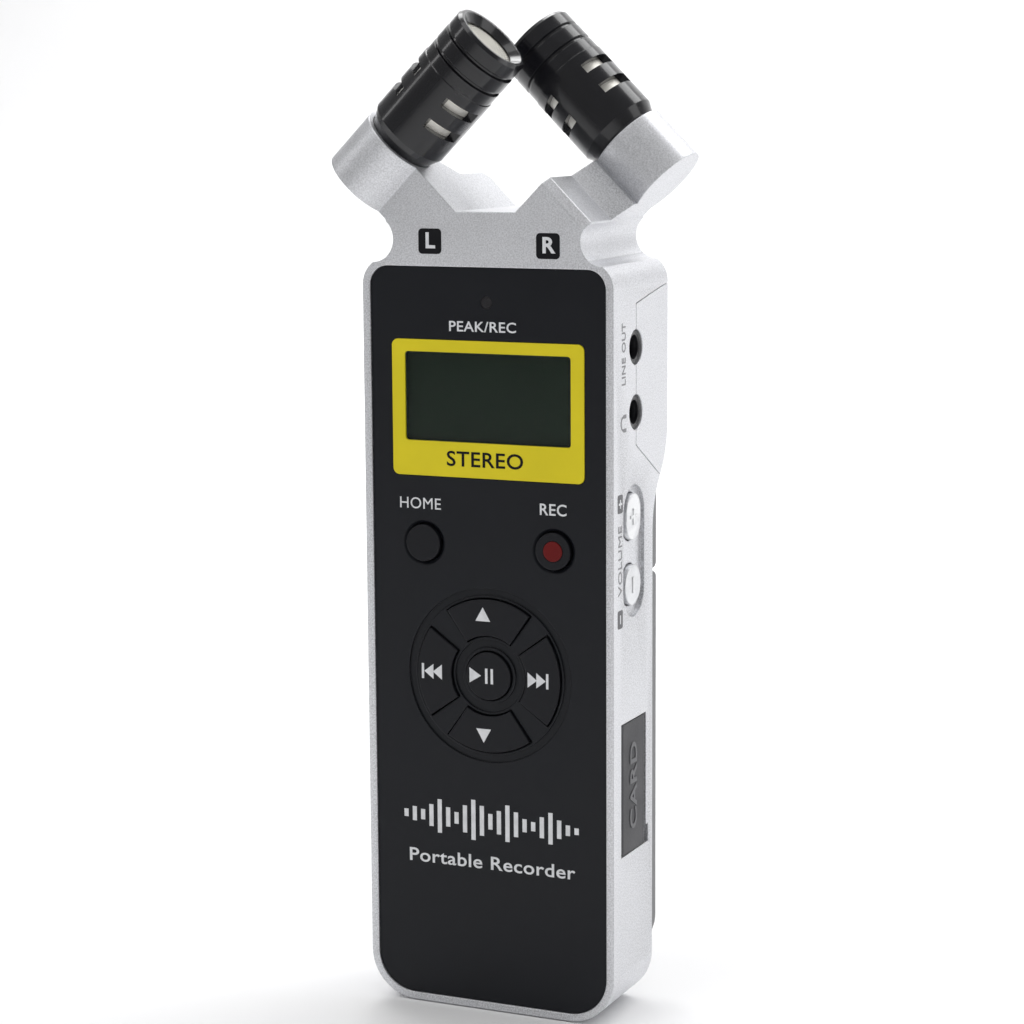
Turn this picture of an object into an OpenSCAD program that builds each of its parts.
// Portable field recorder standing on its foot: +Z is up, the display faces -Y and the
// origin is at the middle of the footprint. All sizes are in millimetres.

/* [Body] */
// Width of the casing
body_w = 40; // [39.6:0.1:41]
// Height of the casing from the foot to the shoulders
body_h = 113.3; // [113:0.1:114.5]
// Depth of the casing at the top
body_d = 21.5; // [21.3:0.1:22]
// Depth of the silver casing below the step in its back
lower_d = 15.4; // [15.2:0.05:15.6]
// Corner radius at the foot
foot_r = 7.2; // [6:0.1:8]
// Corner radius at the shoulders
shoulder_r = 4; // [3.4:0.1:4.4]
// Wall thickness of the casing
wall = 1.6; // [1.5:0.05:1.7]

/* [Rear cover] */
// Thickness of the dark rear cover behind the lower casing
cover_t = 3.5; // [3.3:0.1:3.8]
// Width of the dark rear cover
cover_w = 38.4; // [38:0.1:38.6]
// Height of the seam between the fixed cover and the battery door
door_top = 65.9; // [65.4:0.1:66.2]
// How far the battery door slides down before it lifts off
door_travel = 4; // [3:0.5:4]

/* [Microphones] */
// Outer radius of a microphone barrel
mic_r = 6.2; // [6:0.05:6.3]
// Length of a barrel in front of its socket
mic_len = 21; // [20.5:0.1:21.2]
// Outer radius of the sockets on the yoke
socket_r = 6.15; // [6.1:0.05:6.3]
// Length of a socket along its microphone
socket_len = 8.9; // [8.6:0.1:9.4]
// Depth of a microphone axis behind the face on its own side
mic_depth = 3.07; // [2.9:0.01:3.3]

/* [Front] */
// Width of the black front panel
panel_w = 37.6; // [37.2:0.1:37.8]
// Width of the display bezel
bezel_w = 30.8; // [30:0.1:31]
// Height of the display bezel
bezel_h = 20.2; // [19.8:0.1:20.4]
// Radius of the round control pad
pad_r = 13.2; // [13:0.1:13.4]
// How far a front key travels
key_travel = 0.5; // [0.3:0.05:0.5]

/* [Sides] */
// Height of the line-out jack
line_out_z = 100.5; // [100:0.1:101]
// Height of the headphone jack
headphone_z = 91; // [90.5:0.1:91.5]
// Height of the middle of the card door
card_door_z = 35.3; // [35:0.1:36]
// How far a side button travels
side_travel = 0.4; // [0.2:0.05:0.4]
// How far the power slider moves each way from its middle
slider_travel = 2; // [1:0.5:2]

/* [Hidden] */
$fn = 64;
eps = 0.01;
gap = 0.15;               // visible seam between two casing pieces
clear = 0.2;              // clearance around a moving piece

// Colours
silver = [0.72, 0.73, 0.75];
soft_black = [0.11, 0.115, 0.13];
rear_grey = [0.42, 0.42, 0.43];
board_green = [0.08, 0.32, 0.16];
steel = [0.75, 0.75, 0.76];
brass = [0.8, 0.66, 0.35];

// Step in the back: two tangent arcs of one radius
step_top = 88.5;
step_bottom = 72.5;
step_mid = (step_top + step_bottom) / 2;
step_half = (step_top - step_bottom) / 2;
step_run = body_d - lower_d;
step_mid_y = (body_d + lower_d) / 2;
step_r = (pow(step_half, 2) + pow(step_run / 2, 2)) / step_run;
cover_back = lower_d + cover_t;
cover_top = 81.8;

// Depths of the layers behind the front face
panel_front = 0.25;
panel_back = 1.45;
frame_front = 1.5;
frame_back = 2.8;
flange_front = 1.75;
flange_back = 2.35;
key_face = -0.15;
board_front = 4.6;
dome_t = 0.4;
key_tip = board_front - dome_t - 0.1 - key_travel;
board_back = 5.8;
board_w = 33.6;
board_bottom = 4;
board_top = 109.3;

// Yoke, in the plane of the front face and along the microphone axes
notch_x = 18.3;
notch_z = 116;
notch_r = 3.4;
gap_z = 120.15;
mic_tilt = 45;
root2 = sqrt(2);
socket_top = 81.57;       // distance of a socket's mouth from the origin along its axis
socket_base = socket_top - socket_len;
mic_offset = 102.46;      // distance of a microphone axis from the origin
plate_edge = 95.4;        // outer edge of the full-depth plate, measured the same way
plate_chamfer = 1.2;
web_out = 98.4;
web_depth = 8.9;
web_back = 12.6;
socket_bore_r = 5.35;
socket_bore_depth = 6;
stem_r = 5.3;
stem_len = 3.2;
barrel_bore_r = 5.05;
grille_r = 4.1;           // opening of the head in front of the grille
grille_depth = 1.2;
capsule_back = 6.6;
slot_heights = [10.2, 14.2];
slot_w = 1.6;
left_turn = -34;          // how the slots are turned about each microphone
right_turn = 39;
cable_r = 0.9;
cable_hole_r = 1.15;

// Controls on the front
button_x = 10.5;
button_z = 71.1;
button_r = 2.75;
pad_z = 51.7;
key_out = 11.55;
key_in = 6.1;
key_half_angle = 35;
play_r = 3.6;
bezel_bottom = 81.2;
lens_w = 26.6;
lens_bottom = 86.4;
lens_h = 13.2;
lcd_w = 30;
lcd_bottom = 84.8;
lcd_h = 17;
peak_z = 107;

// Controls on the sides: [depth, height, width, length] of each button
side_x = body_w / 2;
inner_x = side_x - wall;
upper_button = [7.5, 75.75, 5.4, 6.9];
lower_button = [7.3, 65.65, 6, 6];
button_well = [7.9, 70.6, 8.2, 19.6];
well_depth = 0.6;
jack_depth = 8.65;
jack_hole_r = 2.6;
jack_bore_r = 1.8;
jack_bore_len = 12;
slider_z = 45;
slider_y = 8;
slider_w = 2.8;
slider_len = 7.8;
nub_reach = 1.1;          // how far a side button reaches in from the wall
plunger_end = inner_x - nub_reach - side_travel - 0.1;
door_front = 3.2;
door_rear = 12.7;
door_h = 19.8;
door_in = side_x - 1.25;
door_out = side_x - 0.05;
hinge_x = side_x - 0.9;
hinge_y = 4.05;
knuckle_r = 0.85;
pin_r = 0.4;

// Battery bay
cell_r = 5.2;
cell_x = 5.45;
cell_len = 43.5;
nub_r = 1.9;
nub_len = 1;
cell_depth = 12.05;
bay_w = 22;
bay_wall = 0.9;
bay_floor = 6.6;
bay_front = 5.95;
bay_bottom = 11.3;
bay_top = 61.7;
plate_back = 15.4;
plate_front = 14;
contact_t = 0.4;
spring_wire_r = 0.3;
boss_x = 14.6;
boss_z = [12, 58];
boss_r = 2.2;
standoff_z = [22, 82.5];
screw_r = 0.85;
tab_x = 15.6;
tab_t = 0.7;
tab_z = [24, 48];
tab_len = 6;
tripod_z = 74;
insert_r = 4.6;
tripod_r = 3.175;
speaker_z = 97.5;
pad_proud = 0.2;          // how far the pads stand out of the foot
pad_x = 9;
pad_len = 7;
pad_w = 2.4;
pad_depths = [2.1, 13.4];

// Extrudes an outline drawn in X and Z between two depths behind the front face
module slab(front, back)
  translate([0, back - body_d / 2, 0]) rotate([90, 0, 0])
    linear_extrude(back - front) children();

// Extrudes an outline drawn in depth and Z between two X positions
module side_slab(from, to)
  translate([from, -body_d / 2, 0]) rotate([90, 0, 90])
    linear_extrude(to - from) children();

// Rectangle centred on X with its own corner radii at the bottom and the top
module outline(w, bottom, top, r_low, r_high) {
  h = top - bottom;
  translate([-w / 2, bottom + r_low]) square([w, h - r_low - r_high]);
  translate([-w / 2 + r_low, bottom]) square([w - 2 * r_low, h - r_high]);
  translate([-w / 2 + r_high, bottom + r_low]) square([w - 2 * r_high, h - r_low]);
  for (s = [-1, 1]) {
    translate([s * (w / 2 - r_low), bottom + r_low]) circle(r_low);
    translate([s * (w / 2 - r_high), top - r_high]) circle(r_high);
  }
}

// Pill-shaped outline centred on a point, longer along its second axis
module pill(centre, w, l)
  translate(centre) {
    if (l > w) square([w, l - w], center = true);
    for (s = [-1, 1]) translate([0, s * (l - w) / 2]) circle(w / 2);
  }

// Cylinder that runs along the depth of the object
module post(x, z, front, back, r)
  translate([x, front - body_d / 2, z]) rotate([-90, 0, 0]) cylinder(r = r, h = back - front);

// Cylinder that runs along X
module cross_post(from, to, depth, z, r)
  translate([from, depth - body_d / 2, z]) rotate([0, 90, 0]) cylinder(r = r, h = to - from);

// Box given by its lowest and highest corners, with depths behind the front face
module block(low, high)
  translate([low[0], low[1] - body_d / 2, low[2]]) cube(high - low);

// Cylinder between two points
module rod(p, q, r) {
  v = q - p;
  l = norm(v);
  translate(p) rotate([0, acos(v[2] / l), atan2(v[1], v[0])]) cylinder(r = r, h = l);
}

// Turns the left arm's axes into the row's: Z runs along the left microphone and
// -X points away from the origin across it
module left_arm() rotate([0, mic_tilt, 0]) children();

// Places a piece on the left arm, or on the right arm by half a turn about Z
module arm(side) rotate([0, 0, side < 0 ? 0 : 180]) left_arm() children();

// Places a piece on a microphone axis, with Z = 0 at the socket's mouth
module on_mic(side)
  arm(side) translate([-mic_offset, mic_depth - body_d / 2, socket_top]) children();

// Profile of the casing seen from the side, with the step in its back
module side_profile() {
  square([lower_d, body_h]);
  translate([0, step_top]) square([body_d, body_h - step_top]);
  intersection() {
    translate([body_d - step_r, step_top]) circle(step_r);
    translate([0, step_mid]) square([body_d, step_half + eps]);
  }
  difference() {
    translate([0, step_bottom]) square([step_mid_y, step_half + eps]);
    translate([lower_d + step_r, step_bottom]) circle(step_r);
  }
}

// Solid outer shape of the casing without the yoke
module casing_block()
  intersection() {
    slab(0, body_d) outline(body_w, pad_proud, body_h, foot_r, shoulder_r);
    side_slab(-side_x, side_x) side_profile();
  }

// Outline of the plate that carries both arms
module yoke_outline() {
  x1 = (plate_edge - socket_top) / root2;
  z1 = (plate_edge + socket_top) / root2;
  x2 = (plate_edge - socket_base) / root2;
  z2 = (plate_edge + socket_base) / root2;
  x0 = socket_top * root2 - gap_z;
  polygon([
    [-x2, body_h - 2], [x2, body_h - 2], [x2, z2], [x1, z1], [-x0, gap_z],
    [x0, gap_z], [-x1, z1], [-x2, z2]
  ]);
}

// Web and socket of the left arm, drawn across its microphone axis
module socket_arm() {
  translate([0, 0, socket_base]) linear_extrude(socket_len)
    translate([0, -body_d / 2])
      polygon([
        [-plate_edge + 4, 0], [-web_out, 0], [-web_out, web_depth],
        [-plate_edge, web_back], [-plate_edge + 4, web_back]
      ]);
  translate([-mic_offset, mic_depth - body_d / 2, socket_base])
    cylinder(r = socket_r, h = socket_len);
}

// Bore of a socket and the chamfer on the far edge of its arm
module socket_cuts() {
  translate([-mic_offset, mic_depth - body_d / 2, socket_top - socket_bore_depth])
    cylinder(r = socket_bore_r, h = socket_bore_depth + 1);
  translate([0, 0, socket_base - 1]) linear_extrude(socket_len + 2)
    translate([-plate_edge, body_d / 2])
      polygon([[plate_chamfer, 1], [plate_chamfer, 0], [0, -plate_chamfer],
               [-1, -plate_chamfer], [-1, 1]]);
}

// The two points that a microphone lead runs between, from its socket to the neck
lead_from = 77;           // distance of the bend in the socket from the origin, along the axis
lead_start = [(lead_from - mic_offset) / root2, mic_depth - body_d / 2,
              (lead_from + mic_offset) / root2];
lead_end = [-8.6, -3, 116.2];

// Region of the rear shell seen from the side, shrunk by the seam
module rear_region(s) {
  polygon([
    [8.66 + s, 86.1 + 0.6 * s], [8.66 + s, 106.9 - s], [16.9, 108.4 - s], [body_d + 1, 109.3 - s],
    [body_d + 1, 78], [17.8, 80.8 + 1.2 * s], [14, 83 + 1.2 * s]
  ]);
}

// Space inside the casing
module casing_space() {
  slab(frame_back, lower_d + 1)
    outline(body_w - 2 * wall, wall, body_h - wall, foot_r - wall, shoulder_r - wall);
  slab(lower_d, body_d - wall)
    outline(body_w - 2 * wall, step_top - 2, body_h - wall, 1, shoulder_r - wall);
  slab(frame_back + 0.4, body_d - frame_back)
    outline(23, body_h - 5, gap_z - 3, 1, 1.5);
}

// Side view space that the dark rear cover is let into
module cover_space()
  block([-cover_w / 2 - gap, lower_d, -1], [cover_w / 2 + gap, body_d + 1, cover_top + gap]);

// Frame behind the panel: openings for the display, the keys and the indicator
module frame_openings() {
  slab(frame_front - 1, frame_back + 1) {
    outline(lcd_w + 0.6, lcd_bottom - 0.3, lcd_bottom + lcd_h + 0.3, 0.6, 0.6);
    translate([0, pad_z]) circle(key_out + 1.05);
    for (s = [-1, 1]) translate([s * button_x, button_z]) circle(button_r + 1.05);
    pill([0, peak_z], 3, 6);
  }
}

// Openings in the two side walls
module side_openings() {
  for (s = [-1, 1]) {
    cross_post(s * side_x - wall - 1, s * side_x + wall + 1, jack_depth, line_out_z, jack_hole_r);
    side_slab(s > 0 ? side_x - well_depth : -side_x - 1, s > 0 ? side_x + 1 : -side_x + well_depth)
      pill([button_well[0], button_well[1]], button_well[2], button_well[3]);
    for (b = [upper_button, lower_button])
      side_slab(s * (side_x - wall / 2) - wall, s * (side_x - wall / 2) + wall)
        pill([b[0], b[1]], b[2] + 2 * clear, b[3] + 2 * clear);
  }
  cross_post(inner_x - 1, side_x + 1, jack_depth, headphone_z, jack_hole_r);
  side_slab(-side_x - 1, -inner_x + 1) pill([slider_y, slider_z], slider_w + 0.6,
                                               slider_len + 2 * slider_travel + 0.6);
  card_door_opening();
}

// Ledge, window and hinge relief of the card door
module card_door_opening() {
  low = card_door_z - door_h / 2;
  high = card_door_z + door_h / 2;
  block([door_in - 0.05, hinge_y - knuckle_r - 0.25, low - clear],
        [side_x + 1, door_rear + clear, high + clear]);
  block([inner_x - 3, door_front + 2, low + 1.6], [side_x, door_rear - 1.4, high - 1.6]);
  translate([hinge_x, hinge_y - body_d / 2, low - clear])
    cylinder(r = knuckle_r + 0.25, h = door_h + 2 * clear);
  translate([hinge_x, hinge_y - body_d / 2, low - 1.2]) cylinder(r = pin_r, h = door_h + 2.4);
  block([side_x - 0.9, door_rear, low - clear], [side_x + 1, door_rear + 1.1, low + 2.6]);
}

module housing()
  color(silver) {
    difference() {
      union() {
        casing_block();
        slab(0, body_d) yoke_outline();
        for (s = [-1, 1]) arm(s) socket_arm();
      }
      for (s = [-1, 1]) {
        slab(-1, body_d + 1) translate([s * notch_x, notch_z]) circle(notch_r);
        arm(s) socket_cuts();
        rotate([0, 0, s < 0 ? 0 : 180]) rod(lead_start, lead_end, cable_hole_r);
      }
      slab(-1, frame_front) outline(panel_w + 0.1, 1.3, body_h - 1.15, 6, 2.9);
      frame_openings();
      casing_space();
      cover_space();
      side_slab(-side_x - 1, side_x + 1) rear_region(0);
      side_openings();
      foot_pads();
    }
    housing_posts();
    card_door_ledge();
  }

// Four rubber pads let into the foot
module foot_pads()
  color([0.1, 0.1, 0.11]) for (x = [-pad_x, pad_x], d = pad_depths)
    block([x - pad_len / 2, d - pad_w / 2, 0], [x + pad_len / 2, d + pad_w / 2, pad_proud + 0.3]);

// Screw posts that stand on the frame behind the panel
module housing_posts()
  difference() {
    for (s = [-1, 1]) {
      for (z = boss_z) post(s * boss_x, z, frame_back - 0.4, plate_front, boss_r);
      for (z = standoff_z) post(s * boss_x, z, frame_back - 0.4, board_front, boss_r);
    }
    for (s = [-1, 1]) {
      for (z = boss_z) post(s * boss_x, z, plate_front - 4, plate_front + 1, screw_r);
      for (z = standoff_z) post(s * boss_x, z, frame_back, board_front + 1, screw_r);
    }
  }

// Thicker wall around the card door's window
module card_door_ledge() {
  low = card_door_z - door_h / 2;
  high = card_door_z + door_h / 2;
  difference() {
    block([inner_x - 1.2, frame_back - 0.4, low - 1.8], [door_in - 0.05, plate_front - 0.2, high + 1.8]);
    block([inner_x - 3, door_front + 2, low + 1.6], [side_x, door_rear - 1.4, high - 1.6]);
    translate([hinge_x, hinge_y - body_d / 2, low - 2])
      cylinder(r = knuckle_r + 0.25, h = door_h + 4);
  }
}

module rear_shell()
  color(silver) difference() {
    intersection() {
      casing_block();
      side_slab(-side_x, side_x) rear_region(gap);
    }
    slab(0, body_d - wall)
      outline(body_w - 2 * wall, step_top - 2, body_h - wall, 1, shoulder_r - wall);
    block([-inner_x, 0, step_bottom], [inner_x, plate_front, step_top]);
    cover_space();
    for (s = [-1, 1])
      cross_post(s * side_x - wall - 1, s * side_x + wall + 1, jack_depth, line_out_z, jack_hole_r);
    cross_post(inner_x - 1, side_x + 1, jack_depth, headphone_z, jack_hole_r);
    speaker_holes();
  }

// Round field of small holes over the speaker
module speaker_holes()
  for (i = [-2:2], k = [-2:2])
    if (abs(i) + abs(k) < 4)
      post(i * 2.4, speaker_z + k * 2.4, body_d - 2 * wall, body_d + 1, 0.6);

module rear_chassis()
  color(rear_grey) difference() {
    union() {
      slab(plate_front, plate_back) outline(36.4, wall + 0.2, cover_top, foot_r - wall - 0.2, 0.5);
      slab(plate_back, cover_back) outline(cover_w, door_top + 0.4, cover_top, 0.4, 1.2);
      block([-bay_w / 2 - bay_wall, bay_front, bay_bottom - bay_wall],
            [bay_w / 2 + bay_wall, plate_back, bay_top + bay_wall]);
      post(0, tripod_z, cover_back - 9.6, cover_back - 1, insert_r + 1.6);
    }
    block([-bay_w / 2, bay_floor, bay_bottom], [bay_w / 2, plate_back + 1, bay_top]);
    post(0, tripod_z, cover_back - 8.2, cover_back + 1, insert_r);
    translate([0, cover_back - body_d / 2, door_top + 0.4]) rotate([45, 0, 0])
      cube([cover_w + 2, 1.1, 1.1], center = true);
    for (s = [-1, 1]) {
      for (z = boss_z) {
        post(s * boss_x, z, plate_front - 1, plate_back + 1, screw_r + 0.15);
        post(s * boss_x, z, plate_back - 0.8, plate_back + 1, 1.8);
      }
      for (z = tab_z) tab_slot(s, z);
    }
  }

// Slot that a battery-door tab slides in, wider where the tab drops in
module tab_slot(s, z) {
  block_x(s, tab_x - 0.3, tab_x + tab_t + 0.3, plate_front - 1, plate_back + 1,
          z - tab_len / 2 - door_travel - 0.4, z + tab_len / 2 + 0.4);
  block_x(s, tab_x - 0.3, tab_x + tab_t + 1, plate_front - 1, plate_back + 1,
          z - tab_len / 2 - door_travel - 0.4, z + tab_len / 2 - door_travel + 0.4);
}

// Block given on the +X side, mirrored onto side s
module block_x(s, x0, x1, y0, y1, z0, z1)
  block([s > 0 ? x0 : -x1, y0, z0], [s > 0 ? x1 : -x0, y1, z1]);

module battery_door()
  color(rear_grey) {
    inner_back = cover_back - 1.4;
    difference() {
      slab(plate_back + gap, cover_back)
        outline(cover_w, 6, door_top, foot_r - 1, 0.4);
      slab(plate_back, inner_back)
        outline(cover_w - 2.8, 7.4, door_top - 1.2, foot_r - 2.4, 0.4);
      translate([0, cover_back - body_d / 2, 6]) rotate([45, 0, 0])
        cube([cover_w + 2, 3, 3], center = true);
      translate([0, cover_back - body_d / 2, door_top]) rotate([45, 0, 0])
        cube([cover_w + 2, 1.1, 1.1], center = true);
      for (i = [0:4])
        post(0, 57 - 1.6 * i, cover_back - 0.35, cover_back + 1, 3.6 - 0.5 * i);
    }
    for (s = [-1, 1], z = tab_z) {
      block_x(s, tab_x, tab_x + tab_t, plate_front - 1.1, inner_back + eps,
              z - tab_len / 2, z + tab_len / 2);
      block_x(s, tab_x, tab_x + tab_t + 0.6, plate_front - 1.1, plate_front - 0.3,
              z - tab_len / 2, z + tab_len / 2);
      block_x(s, tab_x, cover_w / 2 - 1.3, inner_back - 0.8, inner_back + eps,
              z - tab_len / 2, z + tab_len / 2);
    }
  }

// One sector key outline about the pad's centre, pointing along an angle
module key_sector(angle, r_in, r_out, half)
  translate([0, pad_z]) intersection() {
    difference() {
      circle(r_out);
      circle(r_in);
    }
    polygon([[0, 0], 2 * r_out * [cos(angle - half), sin(angle - half)],
             2 * r_out * [cos(angle), sin(angle)],
             2 * r_out * [cos(angle + half), sin(angle + half)]]);
  }

// Extra angle that gives a sector a straight clearance at its outer radius
function angle_for(distance) = distance / (key_in + key_out) * 2 * 180 / PI;

module front_panel()
  color(soft_black) difference() {
    slab(panel_front, panel_back) outline(panel_w, 1.35, body_h - 1.2, 6, 2.8);
    slab(0, panel_front + 0.35) outline(bezel_w + 0.1, bezel_bottom - 0.05,
                                        bezel_bottom + bezel_h + 0.05, 1, 1);
    slab(0, panel_back + 1) outline(lens_w + 0.1, lens_bottom - 0.05,
                                    lens_bottom + lens_h + 0.05, 0.5, 0.5);
    slab(0, panel_back + 1) translate([0, peak_z]) circle(0.9);
    slab(0, panel_back + 1) {
      for (a = [0, 90, 180, 270])
        key_sector(a, key_in - clear, key_out + clear, key_half_angle + angle_for(clear));
      translate([0, pad_z]) circle(play_r + clear);
      for (s = [-1, 1]) translate([s * button_x, button_z]) circle(button_r + clear);
    }
    slab(0, panel_front + 0.3) translate([0, pad_z]) difference() {
      circle(pad_r);
      circle(key_out + clear + 0.35);
    }
    slab(0, panel_front + 0.3) translate([0, pad_z]) difference() {
      circle(key_in - clear - 0.35);
      circle(play_r + clear + 0.5);
    }
    for (s = [-1, 1])
      translate([s * button_x, panel_front - 0.01 - body_d / 2, button_z]) rotate([-90, 0, 0])
        cylinder(r1 = button_r + 0.65, r2 = button_r + 0.1, h = 0.4);
  }

module display_bezel()
  color([0.87, 0.8, 0.12]) slab(panel_front - 0.1, panel_front + 0.35) difference() {
    outline(bezel_w, bezel_bottom, bezel_bottom + bezel_h, 1, 1);
    outline(lens_w, lens_bottom, lens_bottom + lens_h, 0.5, 0.5);
  }

module display_lens()
  color([0.16, 0.2, 0.18, 0.4]) slab(panel_front + 0.1, panel_back)
    outline(lens_w - 0.1, lens_bottom + 0.05, lens_bottom + lens_h - 0.05, 0.5, 0.5);

module lcd_glass()
  color([0.2, 0.26, 0.2]) slab(frame_front + 0.05, frame_back + 0.1)
    outline(lcd_w, lcd_bottom, lcd_bottom + lcd_h, 0.3, 0.3);

module lcd_backlight()
  color([0.88, 0.88, 0.84]) slab(frame_back + 0.1, board_front)
    outline(lcd_w, lcd_bottom, lcd_bottom + lcd_h, 0.3, 0.3);

module peak_window()
  color([0.25, 0.08, 0.08, 0.6]) union() {
    post(0, peak_z, panel_front + 0.05, board_front - 1, 0.85);
    slab(frame_front, frame_back - 0.4) pill([0, peak_z], 2.4, 5);
  }

module peak_led()
  color([0.9, 0.9, 0.86]) block([-1, board_front - 0.7, peak_z - 0.6], [1, board_front, peak_z + 0.6]);

// Round front button with a flange behind the panel and a stem to its switch
module round_button(x, z, r) {
  post(x, z, key_face, flange_back, r);
  post(x, z, flange_front, flange_back, r + 0.55);
  post(x, z, flange_back - eps, key_tip, 1.2);
}

module home_button() color(soft_black) round_button(-button_x, button_z, button_r);

module record_button()
  color(soft_black) difference() {
    round_button(button_x, button_z, button_r);
    post(button_x, button_z, key_face - 1, key_face + 0.8, 1.55);
  }

module record_dot()
  color([0.55, 0.05, 0.05]) post(button_x, button_z, key_face - 0.05, key_face + 0.8, 1.5);

// Sector key with a wider flange behind the panel and a stem to its dome
module sector_key(angle) {
  mid_r = (key_in + key_out) / 2;
  slab(key_face, flange_back) key_sector(angle, key_in, key_out, key_half_angle);
  slab(flange_front, flange_back)
    key_sector(angle, key_in - 0.55, key_out + 0.4, key_half_angle + 4);
  post(mid_r * cos(angle), pad_z + mid_r * sin(angle), flange_back - eps, key_tip, 1.5);
}

module key_up() color(soft_black) sector_key(90);
module key_down() color(soft_black) sector_key(270);
module key_previous() color(soft_black) sector_key(180);
module key_next() color(soft_black) sector_key(0);
module play_button() color(soft_black) round_button(0, pad_z, play_r);

// Metal domes on the board, one under each front key
module snap_domes()
  color(steel) {
    mid_r = (key_in + key_out) / 2;
    for (p = concat([for (a = [0, 90, 180, 270]) [mid_r * cos(a), pad_z + mid_r * sin(a)]],
                    [[0, pad_z], [-button_x, button_z], [button_x, button_z]]))
      translate([p[0], board_front - dome_t - body_d / 2, p[1]]) rotate([-90, 0, 0])
        cylinder(r1 = 1.1, r2 = 2.1, h = dome_t);
  }

module main_board()
  color(board_green) difference() {
    slab(board_front, board_back) outline(board_w, board_bottom, board_top, 4, 2.5);
    for (s = [-1, 1]) {
      for (z = boss_z) post(s * boss_x, z, board_front - 1, board_back + 1, boss_r + 0.3);
      for (z = standoff_z) post(s * boss_x, z, board_front - 1, board_back + 1, screw_r + 0.15);
    }
  }

// Integrated circuits: [x, z, width, height, thickness] on the back of the board
module board_chips()
  color([0.08, 0.08, 0.09])
    for (c = [[-5, 70, 10, 10, 1.2], [8, 70, 7, 7, 1], [-4, 84.5, 6, 6, 0.9], [0, 107, 8, 2.6, 0.9]])
      block([c[0] - c[2] / 2, board_back, c[1] - c[3] / 2],
            [c[0] + c[2] / 2, board_back + c[4], c[1] + c[3] / 2]);

module board_capacitors()
  color([0.7, 0.7, 0.72]) for (x = [-3.5, 3.5])
    post(x, 78.5, board_back, board_back + 3.2, 1.6);

module crystal()
  color(steel) slab(board_front - 1.4, board_front) translate([-7, 33.5]) rotate(90) pill([0, 0], 3, 8);

// Pan-head screws: the head's top is at a depth, the shank runs forward from it
module pan_screw(x, z, head_front, shank)
  difference() {
    union() {
      post(x, z, head_front - shank, head_front + 0.3, screw_r - 0.02);
      post(x, z, head_front, head_front + 0.75, 1.65);
    }
    post(x, z, head_front + 0.35, head_front + 1, 0.7);
  }

module board_screws()
  color(steel) for (s = [-1, 1], z = standoff_z) pan_screw(s * boss_x, z, board_back, 2.6);

module case_screws()
  color(steel) for (s = [-1, 1], z = boss_z) pan_screw(s * boss_x, z, plate_back - 0.8, 4);

// Side button with a flange inside the wall and a nub towards its switch
module side_button(s, b)
  mirror([s > 0 ? 0 : 1, 0, 0]) {
    side_slab(inner_x - 0.3, side_x + 0.1) pill([b[0], b[1]], b[2], b[3]);
    side_slab(inner_x - 0.8, inner_x - 0.2) pill([b[0], b[1]], b[2] + 1.2, b[3] + 1.2);
    cross_post(inner_x - nub_reach, inner_x - 0.7, b[0], b[1], 1.2);
  }

module volume_up_button() color(silver) side_button(1, upper_button);
module volume_down_button() color(silver) side_button(1, lower_button);
module gain_up_button() color(silver) side_button(-1, upper_button);
module gain_down_button() color(silver) side_button(-1, lower_button);

// Tactile switches under the side buttons
module side_switches()
  color([0.2, 0.2, 0.21]) for (s = [-1, 1], b = [upper_button, lower_button])
    mirror([s > 0 ? 0 : 1, 0, 0]) {
      block([13.2, board_back, b[1] - 2.4], [plunger_end - 0.6, board_back + 3.4, b[1] + 2.4]);
      cross_post(plunger_end - 0.6 - eps, plunger_end, b[0], b[1], 0.9);
    }

// Ribbed slider of the power and hold switch
module power_knob()
  color(silver) {
    difference() {
      side_slab(-side_x - 0.7, -inner_x + 0.3) pill([slider_y, slider_z], slider_w, slider_len);
      for (i = [-2:2])
        block([-side_x - 1, slider_y - 2, slider_z + i * 1.1 - 0.25],
              [-side_x - 0.4, slider_y + 2, slider_z + i * 1.1 + 0.25]);
    }
    side_slab(-inner_x + 0.2, -inner_x + 0.8) pill([slider_y, slider_z], slider_w + 2.2, slider_len + 6.2);
    cross_post(-inner_x + 0.7, -inner_x + 1.5, slider_y, slider_z, 0.8);
  }

module power_switch()
  color(steel) difference() {
    block([-16.6, board_back, slider_z - 4.5], [-12.4, board_back + 3.6, slider_z + 4.5]);
    block([-17, slider_y - 1.2, slider_z - 3.2], [-15.2, slider_y + 1.2, slider_z + 3.2]);
  }

// 3.5 mm jack with its round nose in the side wall
module jack(s, z)
  mirror([s > 0 ? 0 : 1, 0, 0]) difference() {
    union() {
      block([5.6, board_back, z - 3], [inner_x - 0.1, jack_depth + 2.85, z + 3]);
      cross_post(inner_x - 0.2, side_x - 0.35, jack_depth, z, jack_hole_r - 0.15);
    }
    cross_post(side_x - 0.35 - jack_bore_len, side_x + 1, jack_depth, z, jack_bore_r);
  }

module line_out_jack() color(soft_black) jack(1, line_out_z);
module headphone_jack() color(soft_black) jack(1, headphone_z);
module mic_in_jack() color(soft_black) jack(-1, line_out_z);

// Door over the card slot and the data port, hinged along its front edge
module card_door() {
  low = card_door_z - door_h / 2;
  color([0.4, 0.4, 0.42]) difference() {
    union() {
      block([door_in, hinge_y, low], [door_out, door_rear, low + door_h]);
      translate([hinge_x, hinge_y - body_d / 2, low]) cylinder(r = knuckle_r, h = door_h);
    }
    translate([hinge_x, hinge_y - body_d / 2, low - 1]) cylinder(r = pin_r + 0.05, h = door_h + 2);
    translate([door_out, door_rear - body_d / 2, low + door_h / 2]) rotate([0, 0, 45])
      cube([0.9, 0.9, door_h + 2], center = true);
  }
}

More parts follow.
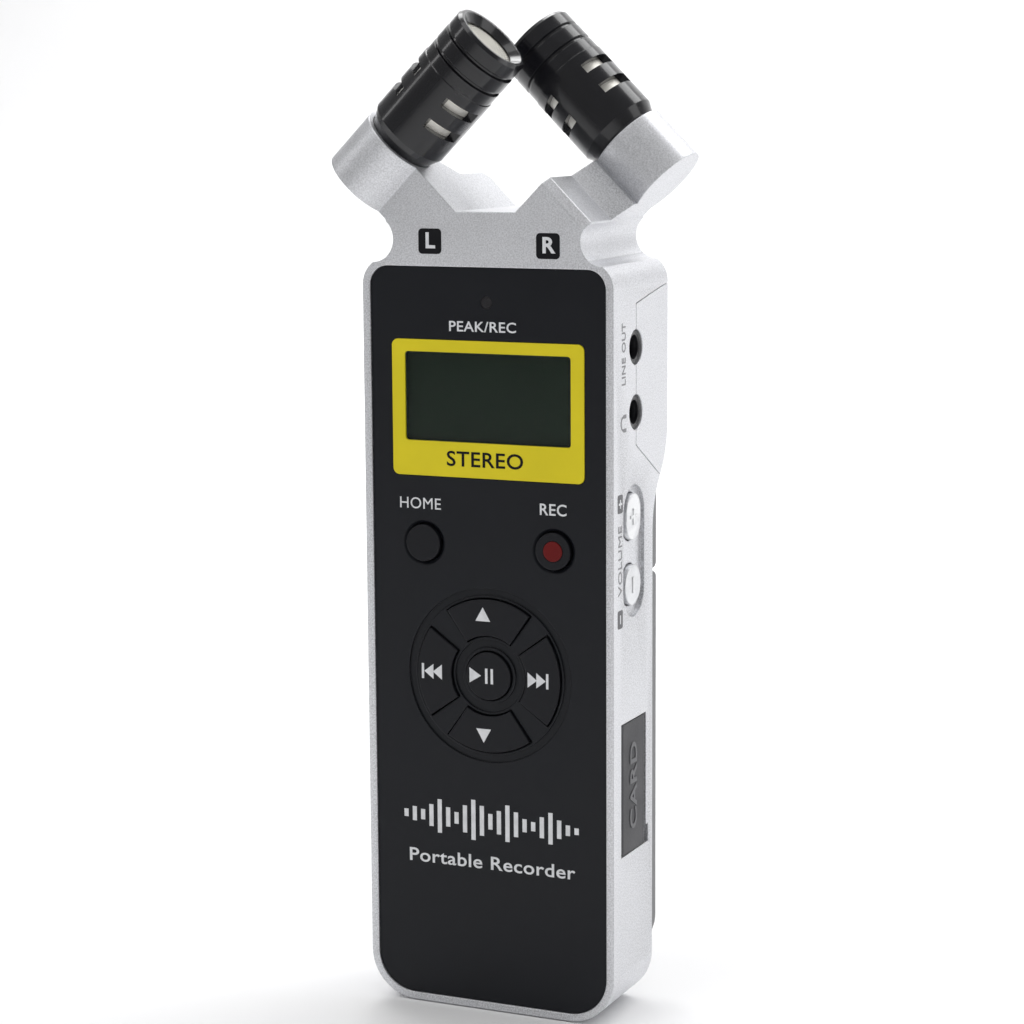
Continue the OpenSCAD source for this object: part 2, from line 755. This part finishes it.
module card_door_pin()
  color(steel) translate([hinge_x, hinge_y - body_d / 2, card_door_z - door_h / 2 - 1.2])
    cylinder(r = pin_r, h = door_h + 2.4);

// Card slot on the front of the board, open towards the card door
module card_slot()
  color(steel) difference() {
    block([2, board_front - 1.7, 27.6], [board_w / 2, board_front, 41.2]);
    block([1, board_front - 1.4, 28.8], [board_w / 2 + 1, board_front - 0.3, 40]);
  }

module memory_card()
  color([0.1, 0.1, 0.11])
    block([2.4, board_front - 1.25, 28.9], [board_w / 2 + 0.4, board_front - 0.45, 39.9]);

// Data port on the back of the board, open towards the card door
module data_port()
  color(steel) difference() {
    block([12.2, board_back, 29.6], [board_w / 2 + 0.5, board_back + 2.7, 37.2]);
    block([13.4, board_back + 0.35, 29.95], [board_w / 2 + 1, board_back + 2.35, 36.85]);
    block([11, board_back + 1.2, 28], [11.5, board_back + 1.4, 29]);
  }

// Size AAA cell whose nub points up (dir 1) or down (dir -1)
module cell(x, dir) {
  span_low = bay_bottom + contact_t;
  span_high = bay_top - contact_t;
  translate([x, cell_depth - body_d / 2, dir > 0 ? span_high - nub_len : span_low + nub_len])
    mirror([0, 0, dir > 0 ? 0 : 1]) {
      translate([0, 0, -cell_len]) cylinder(r = cell_r, h = cell_len);
      translate([0, 0, -eps]) cylinder(r = nub_r, h = nub_len + eps);
    }
}

module battery_left() color([0.3, 0.42, 0.5]) cell(-cell_x, 1);
module battery_right() color([0.3, 0.42, 0.5]) cell(cell_x, -1);

// Conical coil: rings of points swept along a helix whose radius shrinks
spring_len = bay_top - bay_bottom - 2 * contact_t - cell_len - nub_len;
spring_turns = 4;
spring_steps = 20;
spring_sides = 6;
spring_low_r = 3;
spring_top_r = 2.1;
function spring_ring(i) =
  let (n = spring_turns * spring_steps, t = i / n, a = 360 * spring_turns * t,
       r = spring_low_r - (spring_low_r - spring_top_r) * t,
       z = spring_wire_r + (spring_len - 2 * spring_wire_r) * t)
  [for (k = [0:spring_sides - 1])
    let (b = 360 * k / spring_sides, q = r + spring_wire_r * cos(b))
    [q * cos(a), q * sin(a), z + spring_wire_r * sin(b)]];

module coil_spring() {
  n = spring_turns * spring_steps;
  m = spring_sides;
  points = [for (i = [0:n]) each spring_ring(i)];
  polyhedron(points, concat(
    [[for (k = [0:m - 1]) k]],
    [for (i = [0:n - 1], k = [0:m - 1])
      [i * m + k, (i + 1) * m + k, (i + 1) * m + (k + 1) % m, i * m + (k + 1) % m]],
    [[for (k = [m - 1:-1:0]) n * m + k]]));
}

module battery_springs()
  color(steel) {
    translate([-cell_x, cell_depth - body_d / 2, bay_bottom + contact_t]) coil_spring();
    translate([cell_x, cell_depth - body_d / 2, bay_top - contact_t]) mirror([0, 0, 1]) coil_spring();
  }

// Contact plates at both ends of the bay
module battery_contacts()
  color(steel) {
    block([-10.4, 8, bay_bottom], [10.4, plate_back, bay_bottom + contact_t]);
    for (x = [-cell_x, cell_x])
      block([x - 4.4, 8, bay_top - contact_t], [x + 4.4, plate_back, bay_top]);
  }

module tripod_insert()
  color(brass) difference() {
    post(0, tripod_z, cover_back - 8.2, cover_back - 0.1, insert_r);
    post(0, tripod_z, cover_back - 7, cover_back + 1, tripod_r);
  }

module speaker_frame()
  color([0.2, 0.2, 0.21]) difference() {
    union() {
      post(0, speaker_z, body_d - wall - 3.2, body_d - wall - 0.2, 8);
      post(0, speaker_z, body_d - wall - 6.2, body_d - wall - 3, 4.6);
    }
    post(0, speaker_z, body_d - wall - 2.6, body_d, 7.2);
  }

module speaker_cone()
  color([0.12, 0.12, 0.12])
    translate([0, body_d - wall - 2.6 - body_d / 2, speaker_z]) rotate([-90, 0, 0])
      cylinder(r1 = 2.4, r2 = 7.1, h = 1.9);

// Barrel of a microphone, from the stem in the socket to the open head. Heights run
// from the socket's mouth, and the bore keeps the capsule and the screen.
module mic_barrel(turn) {
  top = mic_len;
  difference() {
    rotate_extrude() polygon([
      [0, -stem_len], [stem_r, -stem_len], [stem_r, 0.2],
      [mic_r, top - 18.9], [mic_r, top - 7.8], [mic_r - 0.12, top - 7.7],
      [mic_r - 0.12, top - 5.9], [mic_r - 0.5, top - 5.7], [mic_r - 0.5, top - 5.4],
      [mic_r - 0.1, top - 5.2], [mic_r - 0.1, top - 3.1], [mic_r - 0.5, top - 2.9],
      [mic_r - 0.5, top - 2.6], [mic_r - 0.15, top - 2.4], [mic_r - 0.15, top - 0.5],
      [mic_r - 0.5, top], [0, top]
    ]);
    translate([0, 0, 1.8]) cylinder(r = barrel_bore_r, h = top - 1.8 - grille_depth);
    translate([0, 0, 2]) cylinder(r = grille_r, h = top);
    translate([0, 0, top - 1]) cylinder(r1 = grille_r, r2 = mic_r - 0.9, h = 1);
    translate([0, 0, -socket_bore_depth]) cylinder(r = cable_r + 0.2, h = top);
    for (a = [0, 120, 240], h = slot_heights)
      rotate([0, 0, turn + a]) mic_slot(top - h, slot_w);
  }
}

// Slot cut through the barrel's wall, as wide as a sector of 76 degrees
module mic_slot(h, w)
  translate([0, 0, h - w / 2]) linear_extrude(w)
    polygon([[3, 0], [9 * cos(38), -9 * sin(38)], [9 * cos(38), 9 * sin(38)]]);

module mic_screen()
  difference() {
    translate([0, 0, 2]) cylinder(r = barrel_bore_r - 0.05, h = mic_len - 8.4);
    translate([0, 0, 1]) cylinder(r = barrel_bore_r - 0.45, h = mic_len);
  }

module mic_capsule() {
  translate([0, 0, mic_len - capsule_back + 0.9]) cylinder(r = barrel_bore_r - 0.1, h = 3.2);
  translate([0, 0, mic_len - capsule_back]) cylinder(r = barrel_bore_r - 0.9, h = 1);
}

module mic_grille()
  translate([0, 0, mic_len - grille_depth - 0.4]) cylinder(r = barrel_bore_r - 0.05, h = 0.4);

// Lead from the back of the capsule, through the socket and the neck, to the board
module mic_cable(side) {
  low = lead_from - socket_top - 0.6;
  on_mic(side) translate([0, 0, low]) cylinder(r = cable_r, h = mic_len - capsule_back - low);
  rotate([0, 0, side < 0 ? 0 : 180]) rod(lead_start, lead_end, cable_r - 0.1);
}

module mic_left_barrel() color(soft_black) on_mic(-1) mic_barrel(left_turn);
module mic_right_barrel() color(soft_black) on_mic(1) mic_barrel(right_turn);
module mic_left_grille() color([0.7, 0.68, 0.62]) on_mic(-1) mic_grille();
module mic_right_grille() color([0.7, 0.68, 0.62]) on_mic(1) mic_grille();
module mic_left_capsule() color(steel) on_mic(-1) mic_capsule();
module mic_right_capsule() color(steel) on_mic(1) mic_capsule();
module mic_left_screen() color(steel) on_mic(-1) mic_screen();
module mic_right_screen() color(steel) on_mic(1) mic_screen();
module mic_left_cable() color([0.15, 0.15, 0.16]) mic_cable(-1);
module mic_right_cable() color([0.15, 0.15, 0.16]) mic_cable(1);

housing();
rear_shell();
rear_chassis();
battery_door();
front_panel();
display_bezel();
display_lens();
lcd_glass();
lcd_backlight();
peak_window();
peak_led();
home_button();
record_button();
record_dot();
key_up();
key_down();
key_previous();
key_next();
play_button();
snap_domes();
main_board();
board_chips();
board_capacitors();
crystal();
board_screws();
case_screws();
side_switches();
volume_up_button();
volume_down_button();
gain_up_button();
gain_down_button();
power_knob();
power_switch();
line_out_jack();
headphone_jack();
mic_in_jack();
card_door();
card_door_pin();
card_slot();
memory_card();
data_port();
battery_left();
battery_right();
battery_springs();
battery_contacts();
tripod_insert();
speaker_frame();
speaker_cone();
foot_pads();
mic_left_barrel();
mic_right_barrel();
mic_left_grille();
mic_right_grille();
mic_left_capsule();
mic_right_capsule();
mic_left_screen();
mic_right_screen();
mic_left_cable();
mic_right_cable();
